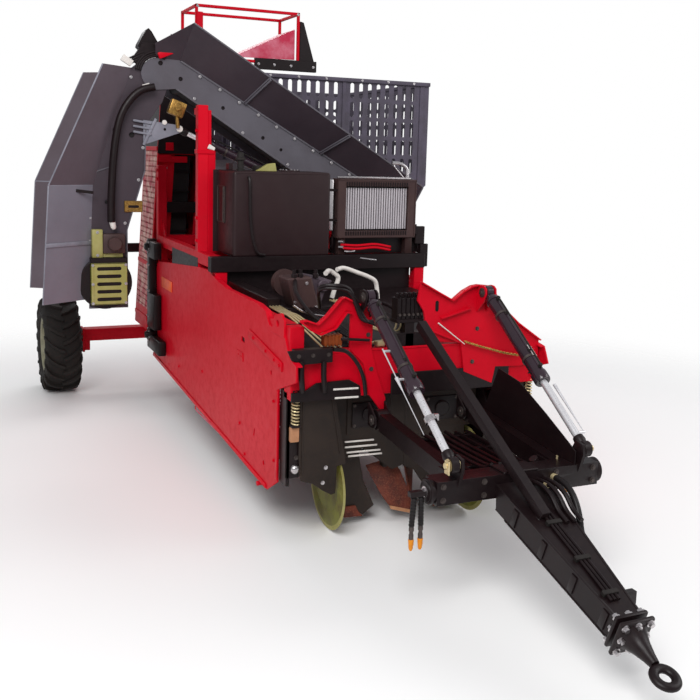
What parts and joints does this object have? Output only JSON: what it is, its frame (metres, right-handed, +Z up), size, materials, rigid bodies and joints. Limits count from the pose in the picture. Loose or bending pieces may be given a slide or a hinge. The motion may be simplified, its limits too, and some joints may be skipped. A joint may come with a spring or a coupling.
{
  "type": "trailed sugar beet harvester",
  "caption": "Trailed sugar beet harvester with lifting shares, sieve web, elevator, open bunker, folding unloading conveyor and lifting drawbar.",
  "frame": {"origin": "bottom centre of the whole machine's box, on the ground", "axes": "+Z up, -Y towards the towing eye, +X towards the machine's left side"},
  "size_m": [4.37, 8.6479, 4.2],
  "materials": {
    "red_enamel": "glossy",
    "black_enamel": "semi-gloss",
    "grey_enamel": "satin",
    "tyre_rubber": "matte",
    "rim_paint": "satin",
    "hub_iron": "matte",
    "cylinder_paint": "satin",
    "rod_chrome": "polished",
    "belt_rubber": "matte",
    "tank_paint": "satin",
    "fin_aluminium": "brushed",
    "worn_steel": "worn",
    "olive_steel": "worn",
    "zinc_steel": "yellow zinc plated",
    "cream_paint": "satin",
    "cap_plastic": "matte",
    "hose_rubber": "matte"
  },
  "bodies": {
    "chassis": {"axle_beam": "red_enamel", "bunker_cradle": "red_enamel", "bunker_floor": "grey_enamel", "bunker_walls": "grey_enamel", "conveyor_stand": "black_enamel", "cooler_core": "fin_aluminium", "cooler_frame": "tank_paint", "cross_conveyor": "black_enamel", "cylinder_bracket_left": "red_enamel", "cylinder_bracket_right": "red_enamel", "deck_frame": "red_enamel", "disc_shields": "black_enamel", "elevator_casing": "red_enamel", "elevator_chain": "belt_rubber", "elevator_hood": "red_enamel", "headstock": "red_enamel", "hose_rail": "black_enamel", "hydraulic_block": "black_enamel", "hydraulic_pipes": "zinc_steel", "inner_belt": "belt_rubber", "inner_conveyor_sides": "grey_enamel", "lifting_shares": "worn_steel", "light_bar": "red_enamel", "main_frame": "red_enamel", "oil_tank": "tank_paint", "row_guides": "black_enamel", "row_housings": "black_enamel", "side_panel_left": "red_enamel", "side_panel_right": "red_enamel", "sieve_web": "worn_steel", "stay_chain": "zinc_steel", "tool_bar": "black_enamel", "web_drive": "black_enamel", "web_rollers": "worn_steel"},
    "wheel_right": {"tyre_right": "tyre_rubber", "rim_right": "rim_paint", "hub_right": "hub_iron"},
    "wheel_left": {"tyre_left": "tyre_rubber", "rim_left": "rim_paint", "hub_left": "hub_iron"},
    "drawbar": {"drawbar_frame": "black_enamel", "tongue": "black_enamel", "tow_eye": "black_enamel", "coupler_hose_a": "hose_rubber", "coupler_hose_b": "hose_rubber", "coupler_cap_a": "cap_plastic", "coupler_cap_b": "cap_plastic", "tongue_hose": "black_enamel"},
    "lift_barrel_right": {"lift_right_barrel": "cylinder_paint"},
    "lift_rod_right": {"lift_right_rod": "rod_chrome"},
    "lift_barrel_left": {"lift_left_barrel": "cylinder_paint"},
    "lift_rod_left": {"lift_left_rod": "rod_chrome"},
    "disc_right": {"lifting_disc_right": "olive_steel"},
    "disc_left": {"lifting_disc_left": "olive_steel"},
    "outer_conveyor": {"outer_conveyor_sides": "grey_enamel", "outer_belt": "belt_rubber", "belt_drive": "cream_paint"},
    "fold_cylinder_barrel": {"fold_barrel": "cylinder_paint"},
    "fold_cylinder_rod": {"fold_rod": "rod_chrome"}
  },
  "joints": [
    {"name": "wheel_right_spin", "type": "hinge", "parent": "chassis", "child": "wheel_right", "pos_m": [-1.755, 3.30399, 0.524], "axis": [1, 0, 0], "continuous": true},
    {"name": "disc_right_spin", "type": "hinge", "parent": "chassis", "child": "disc_right", "pos_m": [-0.455, -1.40601, 0.336], "axis": [1, 0, 0], "continuous": true},
    {"name": "wheel_left_spin", "type": "hinge", "parent": "chassis", "child": "wheel_left", "pos_m": [1.985, 3.30399, 0.524], "axis": [1, 0, 0], "continuous": true},
    {"name": "disc_left_spin", "type": "hinge", "parent": "chassis", "child": "disc_left", "pos_m": [0.685, -1.40601, 0.336], "axis": [1, 0, 0], "continuous": true},
    {"name": "drawbar_lift", "type": "hinge", "parent": "chassis", "child": "drawbar", "pos_m": [0.115, -1.79601, 0.9], "axis": [-1, 0, 0], "range_deg": [-6, 14]},
    {"name": "lift_barrel_right_swing", "type": "hinge", "parent": "chassis", "child": "lift_barrel_right", "pos_m": [-0.345, -1.79601, 1.75], "axis": [-1, 0, 0], "range_deg": [-30, 30]},
    {"name": "lift_rod_right_slide", "type": "slide", "parent": "lift_barrel_right", "child": "lift_rod_right", "axis": [0, -0.8288, -0.5596], "range_m": [-0.4, 0.4]},
    {"name": "lift_barrel_left_swing", "type": "hinge", "parent": "chassis", "child": "lift_barrel_left", "pos_m": [0.575, -1.79601, 1.75], "axis": [-1, 0, 0], "range_deg": [-30, 30]},
    {"name": "lift_rod_left_slide", "type": "slide", "parent": "lift_barrel_left", "child": "lift_rod_left", "axis": [0, -0.8288, -0.5596], "range_m": [-0.4, 0.4]},
    {"name": "conveyor_fold", "type": "hinge", "parent": "chassis", "child": "outer_conveyor", "pos_m": [-1.165, 1.24399, 3.34], "axis": [0, 1, 0], "range_deg": [0, 105]},
    {"name": "fold_barrel_swing", "type": "hinge", "parent": "chassis", "child": "fold_cylinder_barrel", "pos_m": [0.365, 1.00399, 2.29], "axis": [0, 1, 0], "range_deg": [-5, 10]},
    {"name": "fold_rod_slide", "type": "slide", "parent": "fold_cylinder_barrel", "child": "fold_cylinder_rod", "axis": [-0.9159, 0, 0.4015], "range_m": [-0.01, 0.85]}
  ],
  "couplings": [
    {"joint": "lift_barrel_right_swing", "follows": "drawbar_lift", "ratio": 0.67718},
    {"joint": "lift_rod_right_slide", "follows": "drawbar_lift", "m_per_rad": -0.72463},
    {"joint": "lift_barrel_left_swing", "follows": "drawbar_lift", "ratio": 0.67718},
    {"joint": "lift_rod_left_slide", "follows": "drawbar_lift", "m_per_rad": -0.72463},
    {"joint": "fold_barrel_swing", "follows": "conveyor_fold", "ratio": 0.01919},
    {"joint": "fold_rod_slide", "follows": "conveyor_fold", "m_per_rad": 0.43849}
  ]
}
